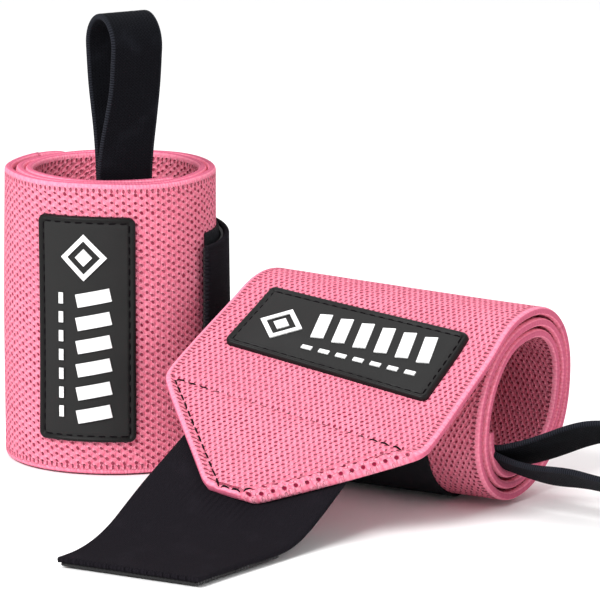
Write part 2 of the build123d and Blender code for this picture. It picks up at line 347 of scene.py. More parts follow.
def noise(tree, vector, scale, detail=2.0, roughness=0.5):
    node = tree.nodes.new("ShaderNodeTexNoise")
    feed(tree, node.inputs["Vector"], vector)
    for name, value in (("Scale", scale), ("Detail", detail), ("Roughness", roughness)):
        node.inputs[name].default_value = value
    return node.outputs["Fac"]


def new_group(name, inputs, outputs):
    """An empty node group with number inputs and outputs; vectors are given by the value 'vector'."""
    group = bpy.data.node_groups.new(name, "ShaderNodeTree")
    for side, sockets in (("INPUT", inputs), ("OUTPUT", outputs)):
        for label, value in sockets.items():
            kind = "NodeSocketVector" if value == "vector" else "NodeSocketFloat"
            socket = group.interface.new_socket(name=label, in_out=side, socket_type=kind)
            if kind == "NodeSocketFloat":
                socket.default_value = value
    return group, group.nodes.new("NodeGroupInput").outputs, group.nodes.new("NodeGroupOutput").inputs


def use_group(tree, group, **values):
    node = tree.nodes.new("ShaderNodeGroup")
    node.node_tree = group
    for label, value in values.items():
        feed(tree, node.inputs[label.replace("_", " ")], value)
    return node.outputs


# %% [markdown]
# ## The knit, as a node group
# The band is a warp knit: columns of loops run across it, and where the yarns part there is a small slanted
# eyelet. Every second column is shifted, and each eyelet of one column is joined to one of the next by a fold,
# so the threads between them stand up as a herringbone. The eyelets and folds are sunk in the height and give a
# mask of painted shade, and the raised threads and fuzz give masks of painted highlight. The group works in
# millimetres along and across the strip, so its pattern bends with the cloth, and it puts out those masks and a
# height for any material to use.

# %% Knit pattern group
knit_group, given, made = new_group(
    "knit_pattern", {"Place": "vector", "Column": 1.55, "Row": 2.0},
    {"Eyelet_shade": 0.0, "Height": 0.0, "Thread_highlight": 0.0, "Fleck_and_highlight": 0.0})
tree = knit_group
place = parts(tree, given["Place"])
wander = noise(tree, given["Place"], 0.23, 1.0)
drift = times(tree, math_node(tree, "SUBTRACT", wander, 0.5), 0.5)
along = math_node(tree, "ADD", math_node(tree, "DIVIDE", place[0], given["Column"]), drift)
column = math_node(tree, "FLOOR", along)
odd = math_node(tree, "MODULO", math_node(tree, "ABSOLUTE", column), 2.0)
across = math_node(tree, "DIVIDE", place[1], given["Row"])
across = math_node(tree, "ADD", across, drift)
across = math_node(tree, "ADD", across, times(tree, odd, 0.4))
in_column, in_row = within(tree, along), within(tree, across)
cell = tree.nodes.new("ShaderNodeCombineXYZ")
tree.links.new(column, cell.inputs[0])
tree.links.new(math_node(tree, "FLOOR", across), cell.inputs[1])
dice = tree.nodes.new("ShaderNodeTexWhiteNoise")
tree.links.new(cell.outputs[0], dice.inputs["Vector"])
slant = math_node(tree, "MULTIPLY_ADD", in_column, 0.25, in_row)
oval = math_node(tree, "ADD", square(tree, in_column, 0.29), square(tree, slant, 0.215))
size = math_node(tree, "MULTIPLY_ADD", dice.outputs["Value"], 0.45, 0.8)
oval = math_node(tree, "DIVIDE", math_node(tree, "SQRT", oval), size)
# Painted shade: the eyelet is a hole sunk in the height, and this mask colours it dark.
eyelet = ramp(tree, oval, 1.15, 0.55)
# Painted shade: the fold between eyelets is a crease, and this mask darkens it.
link = ramp(tree, math_node(tree, "ABSOLUTE", slant), 0.11, 0.02)
beside = times(tree, in_column, math_node(tree, "MULTIPLY_ADD", odd, -2.0, 1.0))
link = times(tree, link, ramp(tree, beside, -0.05, 0.12))
rise = math_node(tree, "ADD", across, times(tree, in_column, 0.8))
strand = ramp(tree, zigzag(tree, rise), 0.05, 0.45)
rib = ramp(tree, math_node(tree, "ABSOLUTE", in_column), 0.5, 0.12)
# The threads are the raised strands. Besides the height, their mask paints a highlight on them.
threads = math_node(tree, "MULTIPLY_ADD", strand, 0.6, times(tree, rib, 0.4))
# The fleck is fine fuzz in the height and the roughness, and its crests also carry a painted highlight.
fleck = noise(tree, given["Place"], 5.5, 3.0, 0.7)
body = math_node(tree, "MULTIPLY_ADD", fleck, 0.35, threads)
height = math_node(tree, "SUBTRACT", body, times(tree, eyelet, 1.2))
height = math_node(tree, "SUBTRACT", height, times(tree, link, 0.35))
# Out: the eyelet and fold mask for painted shade, the thread and fleck masks for painted highlight, and the
# height.
for label, value in (("Eyelet_shade", math_node(tree, "MAXIMUM", eyelet, times(tree, link, 0.3))),
                     ("Height", height), ("Thread_highlight", threads), ("Fleck_and_highlight", fleck)):
    tree.links.new(value, made[label])
print("knit group:", len(tree.nodes), "nodes")

# %% [markdown]
# ## Fine webbing, as a second group
# The black parts are woven or knitted much finer than the band: hardly more than a grain at arm's length.
# Ribs run along the strap and a slant crosses them, which reads as twill. The thumb loop, the strap and the
# thread all use it, each with its own counts.

# %% Twill pattern group
twill_group, given, made = new_group(
    "twill_pattern", {"Place": "vector", "Ribs": 0.9, "Slant": 1.4, "Grain": 1.0}, {"Height": 0.0, "Tone": 0.0})
tree = twill_group
place = parts(tree, given["Place"])
rib = zigzag(tree, times(tree, place[1], given["Ribs"]))
slope = times(tree, rib, 1.6)
weft = zigzag(tree, math_node(tree, "MULTIPLY_ADD", place[0], given["Slant"], slope))
fuzz = noise(tree, given["Place"], 3.4, 3.0, 0.75)
fuzz = times(tree, fuzz, given["Grain"])
ribs = math_node(tree, "MULTIPLY_ADD", rib, 0.7, times(tree, weft, 1.1))
tree.links.new(math_node(tree, "ADD", ribs, fuzz), made["Height"])
tree.links.new(math_node(tree, "MULTIPLY_ADD", weft, 0.8, fuzz), made["Tone"])
print("twill group:", len(tree.nodes), "nodes")

# %% [markdown]
# ## Starting a material
# Every finish below is one Principled shader with a bump for its relief. The patterns are placed by the UV
# map, which holds millimetres along and across the strip. Cloth scatters light from its fibres, which is what
# the sheen stands for, and a constant sheen sits on the shader's own socket.

# %% Begin and close a material
def begin_material(name, roughness, sheen=0.0, sheen_tint=(1, 1, 1), specular=0.3):
    material = bpy.data.materials.new(name)
    material.use_nodes = True
    tree = material.node_tree
    shader = tree.nodes["Principled BSDF"]
    shader.inputs["Roughness"].default_value = roughness
    shader.inputs["Specular IOR Level"].default_value = specular
    shader.inputs["Sheen Weight"].default_value = sheen
    shader.inputs["Sheen Roughness"].default_value = 0.5
    shader.inputs["Sheen Tint"].default_value = (*sheen_tint, 1.0)
    place = tree.nodes.new("ShaderNodeUVMap")
    place.uv_map = "strip"
    return material, tree, shader, place.outputs[0]


def relief(tree, shader, height, distance, strength=1.0):
    """A bump of that many metres feeding the shader's normal."""
    bump = tree.nodes.new("ShaderNodeBump")
    bump.inputs["Strength"].default_value = strength
    bump.inputs["Distance"].default_value = distance
    tree.links.new(height, bump.inputs["Height"])
    tree.links.new(bump.outputs[0], shader.inputs["Normal"])


def measure(tree, name):
    """A number that the mesh carries at each vertex."""
    node = tree.nodes.new("ShaderNodeAttribute")
    node.attribute_name = name
    return node.outputs["Fac"]


# %% [markdown]
# ## The pink elastic
# The eyelets are coloured deep red as painted shade inside the holes. The threads between them are a warm pink,
# and their raised strands and crests are coloured paler as a painted highlight. Three measures on the mesh
# change it. Near the selvedge the knit closes to one pale cord on each face with a darker core between them,
# and a row of short slots runs just inside it. In the folded hem the knit is stretched, so it opens into a
# zigzag of large holes that follows the fold. The slots and the large holes are coloured dark as painted shade,
# like the eyelets.

# %% Knit material
def holes(tree, along, across, pitch, wide, tall):
    """A row of soft-edged ovals that many millimetres apart, where across is 0."""
    place = within(tree, math_node(tree, "DIVIDE", along, pitch))
    oval = math_node(tree, "ADD", square(tree, place, wide / pitch), square(tree, across, tall))
    return ramp(tree, oval, 1.3, 0.35)


hem_pitch = 3.1


def knit_material(name, column, row):
    material, tree, shader, place = begin_material(name, 0.85, 0.03, (1.0, 0.6, 0.72), 0.05)
    rim, hem, run = measure(tree, "rim"), measure(tree, "hem"), measure(tree, "run")
    knit = use_group(tree, knit_group, Place=place, Column=column, Row=row)
    plain = math_node(tree, "SUBTRACT", 1.0, hem)
    cord = times(tree, ramp(tree, rim, 1.5, 1.0), plain)
    core = times(tree, ramp(tree, rim, 0.32, 0.12), plain)
    length = parts(tree, place)[0]
    slots = holes(tree, length, math_node(tree, "SUBTRACT", rim, 2.0), column, 0.3, 0.62)
    slots = times(tree, slots, plain)
    low = holes(tree, run, math_node(tree, "SUBTRACT", rim, 1.0), hem_pitch, 0.62, 0.5)
    shifted = math_node(tree, "ADD", run, hem_pitch / 2)
    high = holes(tree, shifted, math_node(tree, "SUBTRACT", rim, 2.9), hem_pitch, 0.6, 0.5)
    large = times(tree, math_node(tree, "MAXIMUM", low, high), hem)
    patches = noise(tree, place, 0.06, 2.0)
    # Painted shade: the eyelets, the slots and the large hem holes are coloured dark red, as shade inside the
    # holes.
    hole_shade = times(tree, knit["Eyelet_shade"], times(tree, plain, ramp(tree, rim, 1.9, 2.6)))
    hole_shade = times(tree, hole_shade, ramp(tree, patches, 0.25, 0.75, 0.8, 1.0))
    edge_hole_shade = math_node(tree, "MAXIMUM", times(tree, slots, 0.8), large)
    hole_shade = math_node(tree, "MAXIMUM", hole_shade, edge_hole_shade)
    base = mix(tree, ramp(tree, patches, 0.3, 0.7), (0.76, 0.11, 0.20), (0.83, 0.15, 0.25))
    # Painted highlight: the raised strands are coloured paler.
    base = mix(tree, times(tree, knit["Thread_highlight"], 0.85), base, (0.96, 0.335, 0.45))
    # Painted highlight: the crests of the fuzz are coloured paler still.
    base = mix(tree, ramp(tree, knit["Fleck_and_highlight"], 0.35, 0.75, 0.0, 0.3), base, (1.0, 0.50, 0.60))
    base = mix(tree, times(tree, cord, 0.55), base, (0.86, 0.25, 0.37))
    base = mix(tree, times(tree, core, 0.7), base, (0.46, 0.065, 0.14))
    # The painted shade of the holes goes into the colour here.
    base = mix(tree, hole_shade, base, (0.24, 0.008, 0.035))
    tree.links.new(base, shader.inputs["Base Color"])
    tree.links.new(ramp(tree, knit["Fleck_and_highlight"], 0.3, 0.7, 0.95, 0.78), shader.inputs["Roughness"])
    beads = zigzag(tree, times(tree, length, 1.1))
    flat = times(tree, knit["Height"], math_node(tree, "MULTIPLY_ADD", cord, -0.9, 1.0))
    flat = math_node(tree, "MULTIPLY_ADD", times(tree, beads, cord), 0.5, flat)
    flat = math_node(tree, "MULTIPLY_ADD", math_node(tree, "MAXIMUM", slots, large), -1.2, flat)
    relief(tree, shader, flat, 0.5 * MM)
    return material


knits = {"standing": knit_material("knit_standing", 1.55, 2.05),
         "lying": knit_material("knit_lying", 1.36, 1.7)}

# %% [markdown]
# ## The black cloths
# The strap is a soft close knit, the thumb loop a ribbed elastic with a beaded edge, and the patch on the
# band is brushed into a pile for the hooks. They differ in relief and in how much their fibres catch light.

# %% Webbing, pile, hooks and thread
def dark_cloth(name, dark, light, ribs, slant, grain, depth, sheen, roughness, edge=0.0):
    material, tree, shader, place = begin_material(name, roughness, sheen, (0.75, 0.8, 0.95), 0.05)
    twill = use_group(tree, twill_group, Place=place, Ribs=ribs, Slant=slant, Grain=grain)
    tone = ramp(tree, twill["Tone"], 0.25, 1.3)
    base = mix(tree, tone, dark, light)
    lint = noise(tree, place, 0.12, 3.0)
    base = mix(tree, ramp(tree, lint, 0.5, 0.8, 0.0, 0.3), base, tuple(1.5 * value for value in light))
    height = twill["Height"]
    if edge:
        rim = measure(tree, "rim")
        beads = zigzag(tree, times(tree, parts(tree, place)[0], edge))
        band = ramp(tree, rim, 1.0, 0.5)
        height = math_node(tree, "MULTIPLY_ADD", times(tree, beads, band), 1.2, height)
        base = mix(tree, times(tree, band, ramp(tree, beads, 0.1, 0.45, 0.1, 0.8)), base,
                   tuple(2.0 * value for value in light))
    tree.links.new(base, shader.inputs["Base Color"])
    relief(tree, shader, height, depth * MM)
    return material


strap_cloth = dark_cloth("strap_cloth", (0.001, 0.001, 0.0015), (0.014, 0.012, 0.016),
                         ribs=1.3, slant=1.6, grain=1.5, depth=0.2, sheen=0.0, roughness=1.0)
loop_cloth = dark_cloth("loop_cloth", (0.002, 0.002, 0.003), (0.012, 0.013, 0.017),
                        ribs=0.95, slant=1.2, grain=0.6, depth=0.2, sheen=0.02, roughness=0.9, edge=1.5)
pile_cloth = dark_cloth("pile_cloth", (0.002, 0.002, 0.003), (0.013, 0.013, 0.015),
                        ribs=0.35, slant=0.4, grain=2.6, depth=0.5, sheen=0.05, roughness=1.0)
thread_cloth = dark_cloth("thread_cloth", (0.004, 0.002, 0.003), (0.012, 0.006, 0.009),
                          ribs=0.4, slant=3.0, grain=0.4, depth=0.1, sheen=0.02, roughness=0.7)


def hook_material():
    material, tree, shader, place = begin_material("hook_plastic", 0.45, 0.0, (1, 1, 1), 0.4)
    bumps = [zigzag(tree, times(tree, value, count)) for value, count in zip(parts(tree, place), (0.8, 1.1))]
    hooks = times(tree, ramp(tree, bumps[0], 0.15, 0.4), ramp(tree, bumps[1], 0.15, 0.4))
    tree.links.new(mix(tree, hooks, (0.006, 0.006, 0.007), (0.03, 0.03, 0.034)), shader.inputs["Base Color"])
    tree.links.new(ramp(tree, hooks, 0.0, 1.0, 0.6, 0.35), shader.inputs["Roughness"])
    relief(tree, shader, hooks, 0.4 * MM)
    return material


hook_plastic = hook_material()

# %% [markdown]
# ## The label's rubber and its print
# The label is moulded rubber with a fine matt grain, and its raised print is a white rubber of the same make.
# Both are plain, so what makes them real is the grain, a slightly uneven sheen and cloudy paler patches.

# %% Rubber materials
def rubber_material(name, colour, worn, roughness):
    material, tree, shader, _ = begin_material(name, roughness, 0.0, (1, 1, 1), 0.22)
    place = tree.nodes.new("ShaderNodeTexCoord").outputs["Object"]
    grain = noise(tree, place, 2600.0, 2.0, 0.6)
    cloudy = noise(tree, place, 90.0, 3.0)
    base = mix(tree, ramp(tree, cloudy, 0.35, 0.7, 0.0, 0.6), colour, worn)
    tree.links.new(base, shader.inputs["Base Color"])
    tree.links.new(ramp(tree, cloudy, 0.3, 0.7, roughness - 0.08, roughness + 0.1), shader.inputs["Roughness"])
    relief(tree, shader, grain, 0.05 * MM, 0.6)
    return material


label_rubber = rubber_material("label_rubber", (0.012, 0.012, 0.012), (0.019, 0.0185, 0.0185), 0.7)
rim_rubber = rubber_material("rim_rubber", (0.002, 0.002, 0.002), (0.005, 0.004, 0.004), 0.5)
print_rubber = rubber_material("print_rubber", (0.78, 0.78, 0.78), (0.86, 0.86, 0.86), 0.45)

# %% [markdown]
# ## A sheet with two faces
# Cloth this thick is a closed shell. Each row across the strip becomes one ring of points: over the outer
# face, round the edge and back along the inner face. The points crowd together near the edges, where the
# section is round. The mesh carries three measures for the materials: the distance from its rim, how much of
# a hem it is, and the length along its edge.

# %% Shell builder
RIM = (0.0, 0.08, 0.25, 0.55, 1.0, 1.6, 2.4)


def spaced(first, last, step, first_rim=True, last_rim=True):
    """Places from first to last a step apart, and crowded at an end that is a rim."""
    low = [first + d for d in RIM[:-1]] if first_rim else []
    high = [last - d for d in RIM[-2::-1]] if last_rim else []
    start = first + RIM[-1] if first_rim else first
    stop = last - RIM[-1] if last_rim else last
    return low + list(np.linspace(start, stop, max(2, round((stop - start) / step) + 1))) + high


def shell(name, rows, sides, faces, place, material, step=2.0, rim=None, hem=None, run=None):
    """rows: lengths along; sides(along): low and high edge; faces(along, across): outer and inner height."""
    widest = max(rows, key=lambda along: sides(along)[1] - sides(along)[0])
    count = len(spaced(*sides(widest), step)) - 2 * (len(RIM) - 1)
    points, marks, rims, hems, runs = [], [], [], [], []
    for along in rows:
        low, high = sides(along)
        inset = min(1.0, (high - low) / 6 / RIM[-1])
        ring = [low + d * inset for d in RIM[:-1]]
        ring += list(np.linspace(low + RIM[-1] * inset, high - RIM[-1] * inset, count))
        ring += [high - d * inset for d in RIM[-2::-1]]
        for side in (0, 1):
            for across in ring if side == 0 else ring[-2:0:-1]:
                points.append(place(along, across, faces(along, across)[side]) * MM)
                marks.append((along, across))
                rims.append(rim(along, across) if rim else min(across - low, high - across))
                hems.append(hem(along, across) if hem else 0.0)
                runs.append(run(along, across) if run else along)
    around = len(points) // len(rows)
    quads = []
    for row in range(len(rows) - 1):
        for index in range(around):
            beside = (index + 1) % around
            quads.append((row * around + index, row * around + beside, (row + 1) * around + beside,
                          (row + 1) * around + index))
    for row, ring in ((0, range(around - 1, -1, -1)), (len(rows) - 1, range(around))):
        first = row * around
        if np.linalg.norm(points[first + around // 4] - points[first + 3 * around // 4]) > 0.2 * MM:
            quads.append(tuple(row * around + index for index in ring))
    mesh = bpy.data.meshes.new(name)
    mesh.from_pydata([tuple(p) for p in points], [], quads)
    for label, values in (("rim", rims), ("hem", hems), ("run", runs)):
        mesh.attributes.new(label, "FLOAT", "POINT").data.foreach_set("value", np.array(values, np.float32))
    layer = mesh.uv_layers.new(name="strip")
    corner = np.zeros(len(mesh.loops), int)
    mesh.loops.foreach_get("vertex_index", corner)
    layer.data.foreach_set("uv", np.array(marks, np.float32)[corner].ravel())
    return finish_mesh(name, mesh, material)


def finish_mesh(name, mesh, material):
    """Weld, turn outward, shade smoothly and give the material."""
    work = bmesh.new()
    work.from_mesh(mesh)
    bmesh.ops.remove_doubles(work, verts=work.verts, dist=2e-6)
    bmesh.ops.dissolve_degenerate(work, edges=work.edges, dist=1e-6)
    bmesh.ops.recalc_face_normals(work, faces=work.faces)
    for face in work.faces:
        face.smooth = len(face.verts) < 9
    work.to_mesh(mesh)
    work.free()
    piece = bpy.data.objects.new(name, mesh)
    bpy.context.scene.collection.objects.link(piece)
    mesh.materials.append(material)
    return piece


def round_edge(outer, inner, distance, radius):
    """Both heights drawn together towards the rim, as a half-round edge."""
    if distance >= radius:
        return outer, inner
    centre = (outer + inner) / 2
    share = math.sqrt(max(0.0, 1 - (1 - distance / radius) ** 2))
    return centre + (outer - centre) * share, centre + (inner - centre) * share


def smooth(value, low, high):
    share = max(0.0, min(1.0, (value - low) / (high - low)))
    return share * share * (3 - 2 * share)


# %% [markdown]
# ## The rolled band
# The band from where its end opens to its inner end. It is a plain strip with half-round selvedges, so its
# faces are two constant heights, drawn together at the rims and at the inner end.

# %% Roll the bands
SEAM = 8.0   # past the hinge, where the pointed end hands over to the rolled band


def band_rim(along, across):
    return min(across, band_width - across, band_length - along)


def band_faces(along, across):
    return round_edge(half, -half, band_rim(along, across), 1.0)


for wrap in wraps:
    rows = spaced(wrap.hinge + SEAM, band_length, 1.8, False, True)
    roll = shell(f"{wrap.name}_rolled_band", rows, lambda along: (0, band_width), band_faces, wrap.place,
                 knits[wrap.name], 3.0, band_rim)
    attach(roll, f"{wrap.name}_roll")
    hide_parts(f"{wrap.name}_band")
    print(roll.name, len(roll.data.vertices), "vertices")

# %% [markdown]
# ## The pointed end
# The corners of the band's end are folded under along two slanted lines and held by a triangle of stitching.
# So the outline narrows to a blunt tip, the folded rim is twice as thick and rounder than the selvedge, and
# the stitches pull grooves into the knit. The height of the outer face is worked out from the distance to the
# folded edge and to the stitch lines.

# %% Outline and relief of the pointed end
triangle = [(34.0, 6.5), (34.0, 76.0), (1.2, 43.5), (1.5, 37.0)]
stitch_pitch = 3.6


def point_sides(along):
    slant = (middle - tip_width / 2) * (1 - along / point_length)
    low = (slant + math.sqrt(slant * slant + 6.0)) / 2
    low += 1.2 * max(0.0, 1 - along / 2.5) ** 2
    return low, band_width - low


def point_rim(along, across):
    low, high = point_sides(along)
    slope = 0.72 + 0.28 * smooth(along, point_length - 3, point_length + 4)
    return min((across - low) * slope, (high - across) * slope, along)


def point_hem(along, across):
    """How much of the rolled hem a point is; only the hem on the low side is rolled open."""
    rolled = smooth(point_rim(along, across), 4.4, 3.8) * smooth(along, point_length + 1, point_length - 3)
    return rolled * smooth(across, middle - 1, middle - 5)


def point_run(along, across):
    """Length along the slanted edge."""
    return along * 0.72 + abs(across - middle) * 0.69


def to_line(along, across, start, stop):
    """Distance from a stitch line, and the length along it."""
    run = math.dist(start, stop)
    share = ((along - start[0]) * (stop[0] - start[0]) + (across - start[1]) * (stop[1] - start[1])) / run ** 2
    share = max(0.0, min(1.0, share))
    return math.hypot(along - start[0] - share * (stop[0] - start[0]),
                      across - start[1] - share * (stop[1] - start[1])), share * run


def point_faces(along, across):
    distance = point_rim(along, across)
    fold = smooth(along, point_length + 3, point_length - 4)
    rolled = smooth(across, middle + 2, middle - 6)
    swell = fold * smooth(distance, 5.0, 2.6) * (0.35 + 0.75 * rolled)
    outer, inner = half + swell, -half - fold * 0.5 * smooth(distance, 6.0, 4.0)
    for start, stop in zip(triangle[:3], triangle[1:]):
        away, run = to_line(along, across, start, stop)
        pull = 0.75 + 0.25 * math.cos(2 * math.pi * run / stitch_pitch)
        outer -= 0.7 * pull * math.exp(-(away / 0.8) ** 2)
    away, run = to_line(along, across, triangle[3], triangle[0])
    outer -= 0.7 * math.exp(-(away / 0.8) ** 2)
    return round_edge(outer, inner, distance, 1.0 + fold * (0.5 + 1.3 * rolled))


# %% Make the pointed ends
for wrap in wraps:
    rows = [0.0, 0.08, 0.25, 0.5, 0.8, 1.2, 1.6] + list(np.arange(2.2, 46, 0.8))
    last = wrap.hinge + SEAM
    rows = [along for along in rows if along < last - 0.5]
    rows += list(np.linspace(max(rows[-1] + 1, 0), last, max(2, round((last - rows[-1]) / 1.8))))
    flap = shell(f"{wrap.name}_pointed_end", rows, point_sides, point_faces, wrap.place, knits[wrap.name], 1.0,
                 point_rim, point_hem, point_run)
    turning = [Vector(wrap.place(wrap.hinge + shift, middle, 0) * MM) for shift in (6, -6)]
    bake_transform(flap)
    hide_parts(f"{wrap.name}_flap")
    print(flap.name, len(flap.data.vertices), "vertices")

# %% [markdown]
# ## The hook strap
# The strap is sewn under the point and runs on beyond it. It narrows a little towards its end, which is cut
# with a hot wavy knife so that it can't fray. Where it leaves the tip it is gathered into small pleats. It is
# one mesh from its sewn end to its free end.

# %% Strap shape
def strap_sides(along):
    narrow = 0.3 + 2.4 * smooth(along, 0, strap_tail)
    return strap_low + narrow, strap_high - narrow


def strap_rim(along, across):
    low, high = strap_sides(along)
    return min(across - low, high - across, strap_tail - along)


def strap_faces(along, across):
    pleat = math.exp(-((along - 2) / 5) ** 2) * math.exp(-((across - middle) / 11) ** 2)
    lift = 0.22 * pleat * math.sin(2 * math.pi * across / 1.7)
    distance = min(strap_rim(along, across), along + strap_overlap)
    top = strap_thickness / 2
    return round_edge(top + lift, -top + lift, distance, 0.6)


for wrap in wraps:
    def wavy(along, across, out):
        back = 0.35 * smooth(along, strap_tail - 2, strap_tail) * (1 + math.sin(2 * math.pi * across / 1.15))
        return wrap.place_tail(along - back, across, out)

    rows = spaced(-strap_overlap, strap_tail, 1.3)
    strap = shell(f"{wrap.name}_strap", rows, strap_sides, strap_faces, wavy, strap_cloth, 0.28, strap_rim)
    ends = [Vector(wrap.place_tail(along, middle, 0) * MM) for along in (-3, 3)]
    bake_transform(strap)
    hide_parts(f"{wrap.name}_strap_tab", f"{wrap.name}_hook_strap")
    print(strap.name, len(strap.data.vertices), "vertices")

# %% [markdown]
# ## Hook tape and loop patch
# The strap closes on the band with hooks on its under side and a pile patch on the band's outer face. Both
# are thin strips stuck and sewn on, made by the same shell builder.

# %% Make tape and patch
for wrap in wraps:
    first, last = strap_tail - hook_length, strap_tail - 1.2

    def tape_sides(along):
        low, high = strap_sides(along)
        return low + 0.8, high - 0.8

    def tape_faces(along, across):
        low, high = tape_sides(along)
        distance = min(across - low, high - across, last - along, along - first)
        return round_edge(-strap_thickness / 2, -strap_thickness / 2 - hook_thickness, distance, 0.4)

    tape = shell(f"{wrap.name}_hooks", spaced(first, last, 2.0), tape_sides, tape_faces,
                 wrap.place_tail, hook_plastic, 2.0)
    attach(tape, f"{wrap.name}_strap")
    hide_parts(f"{wrap.name}_hook_tape")

    def patch_faces(along, across):
        distance = min(across - strap_low, strap_high - across, along - patch_start,
                       patch_start + patch_length - along)
        return round_edge(half + patch_thickness, half - 0.2, distance, 0.7)

    patch = shell(f"{wrap.name}_pile_patch", spaced(patch_start, patch_start + patch_length, 1.8),
                  lambda along: (strap_low, strap_high), patch_faces, wrap.place, pile_cloth, 2.0)
    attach(patch, f"{wrap.name}_roll")
    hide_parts(f"{wrap.name}_loop_patch")
    print(tape.name, "and", patch.name)

# %% [markdown]
# ## The label
# A moulded rubber badge: a raised rim runs round it, a groove inside the rim takes the sewing thread, and the
# field inside is flat and carries the raised print. Its outline is a rectangle with rounded corners, so its
# relief is worked out from the distance to that outline, and it bends with the band below it.

# %% Label shape
corner_radius = 2.0
groove_inset = 1.75
edge_steps = (0.0, 0.05, 0.15, 0.3, 0.6, 0.9, 1.2)


def rounded_distance(along, across, start):
    """How far inside the label's outline a point is."""
    half_high, half_long = label_height / 2, label_length / 2
    x = abs(along - start - half_high) - (half_high - corner_radius)
    y = abs(across - label_margin - half_long) - (half_long - corner_radius)
    return corner_radius - math.hypot(max(x, 0), max(y, 0)) - min(max(x, y), 0)


def label_profile(distance):
    """Height of the outer face above the band's, by the distance from the outline."""
    top = label_thickness + 0.2 * smooth(distance, 1.5, 1.1)
    groove = 0.5 * math.exp(-((distance - groove_inset) / 0.3) ** 2)
    edge = min(1.0, max(distance, 0.0) / 0.6)
    return (top - groove) * math.sqrt(1 - (1 - edge) ** 2)


for wrap in wraps:
    start = wrap.label_start

    def label_sides(along):
        short = max(0.0, corner_radius - min(along - start, start + label_height - along))
        cut = corner_radius - math.sqrt(max(0.0, corner_radius ** 2 - short ** 2))
        return label_margin + cut, label_margin + label_length - cut

    def label_rim(along, across):
        return rounded_distance(along, across, start)

    def label_faces(along, across):
        return half + label_profile(label_rim(along, across)), half - 0.1

    rows = sorted({start + d for d in edge_steps} | {start + label_height - d for d in edge_steps}
                  | set(start + np.arange(1.5, label_height - 1.4, 0.3)))
    label = shell(f"{wrap.name}_badge", rows, label_sides, label_faces, wrap.place, label_rubber, 0.35,
                  label_rim)
    label.data.materials.append(rim_rubber)
    layer = label.data.attributes["rim"].data
    for face in label.data.polygons:
        if sum(layer[index].value for index in face.vertices) / len(face.vertices) < 1.95:
            face.material_index = 1
    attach(label, "standing_roll" if wrap.name == "standing" else "lying_end")
    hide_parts(f"{wrap.name}_label")
    emblem = nodes[f"{wrap.name}_label_emblem"]
    emblem.data.materials.clear()
    emblem.data.materials.append(print_rubber)
    print(label.name, len(label.data.vertices), "vertices")

# %% [markdown]
# ## Thread
# A stitch is a short length of thread with rounded ends that dives into the cloth at each hole. Each one is a
# small bent spindle, set in the groove that it pulls, a little uneven in length and lean as machine stitches
# in stretch cloth are.

# %% Stitch rows
def stitch_rows(name, place, lines, height, pitch, length, thick, seed):
    """Spindles along lines of (along, across); height(along, across) is where the thread lies."""
    dice = np.random.default_rng(seed)
    work = bmesh.new()
    for start, stop in lines:
        run = math.dist(start, stop)
        count = max(1, round(run / pitch))
        heading = math.atan2(stop[1] - start[1], stop[0] - start[0])
        for index in range(count):
            centre = (index + 0.5) / count * run
            lean = dice.normal(0, 0.05)
            reach = length * dice.uniform(0.9, 1.08) / 2
            rings = []
            for step in range(9):
                t = -1 + step / 4
                width = thick / 2 * math.sqrt(max(0.02, 1 - t ** 4))
                ring = []
                for corner in range(8):
                    angle = corner * math.pi / 4
                    side = width * math.cos(angle)
                    forth = centre + t * reach
                    off_line = side + lean * t * reach
                    along = start[0] + forth * math.cos(heading) - off_line * math.sin(heading)
                    across = start[1] + forth * math.sin(heading) + off_line * math.cos(heading)
                    rise = height(along, across) + thick * (0.35 - 0.75 * t ** 4) + width * math.sin(angle)
                    ring.append(work.verts.new(place(along, across, rise) * MM))
                rings.append(ring)
            for first, second in zip(rings, rings[1:]):
                for corner in range(8):
                    beside = (corner + 1) % 8
                    work.faces.new((first[corner], first[beside], second[beside], second[corner]))
            for ring in (rings[0], rings[-1]):
                work.faces.new(ring)
    mesh = bpy.data.meshes.new(name)
    work.to_mesh(mesh)
    work.free()
    mesh.uv_layers.new(name="strip")
    return finish_mesh(name, mesh, thread_cloth)


def closed(corners):
    """The lines from each corner to the next and back to the first."""
    return list(zip(corners, corners[1:] + corners[:1]))


def rectangle(low, high):
    return closed([low, (high[0], low[1]), high, (low[0], high[1])])


def thread_height(along, across):
    """On the pointed end: deep in the groove along the middle of the base line, and clear of it elsewhere."""
    sunk = smooth(along, point_length - 3, point_length - 1) * smooth(across, 12, 22) * smooth(across, 70, 60)
    return point_faces(along, across)[0] - 0.32 * sunk


for wrap in wraps:
    start = wrap.label_start
    lines = rectangle((start + groove_inset, label_margin + groove_inset),
                      (start + label_height - groove_inset, label_margin + label_length - groove_inset))
    label_thread = stitch_rows(f"{wrap.name}_badge_thread", wrap.place, lines,
                               lambda along, across: half + label_thickness - 0.45, 3.0, 2.3, 0.42, 5)
    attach(label_thread, "standing_roll" if wrap.name == "standing" else "lying_end")
    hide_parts(f"{wrap.name}_label_stitching")
    tip_thread = stitch_rows(f"{wrap.name}_point_thread", wrap.place, closed(triangle), thread_height,
                             stitch_pitch, 3.3, 0.5, 9)
    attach(tip_thread, f"{wrap.name}_end")
    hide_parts(f"{wrap.name}_tip_stitching")
    print(label_thread.name, "and", tip_thread.name)

# %% [markdown]
# ## The thumb loop
# A doubled length of narrow elastic, its two ends sewn one on the other inside the roll. The strip is followed
# from one sewn end, out past the band's edge, round the bow and back to the other, as one mesh. Sewn down, it
# takes the wall's curve across its width, and it flattens as it leaves it. Its legs bow apart a little, and
# each loop leaves the roll in its own way: the standing one is turned, and the lying one is lifted.

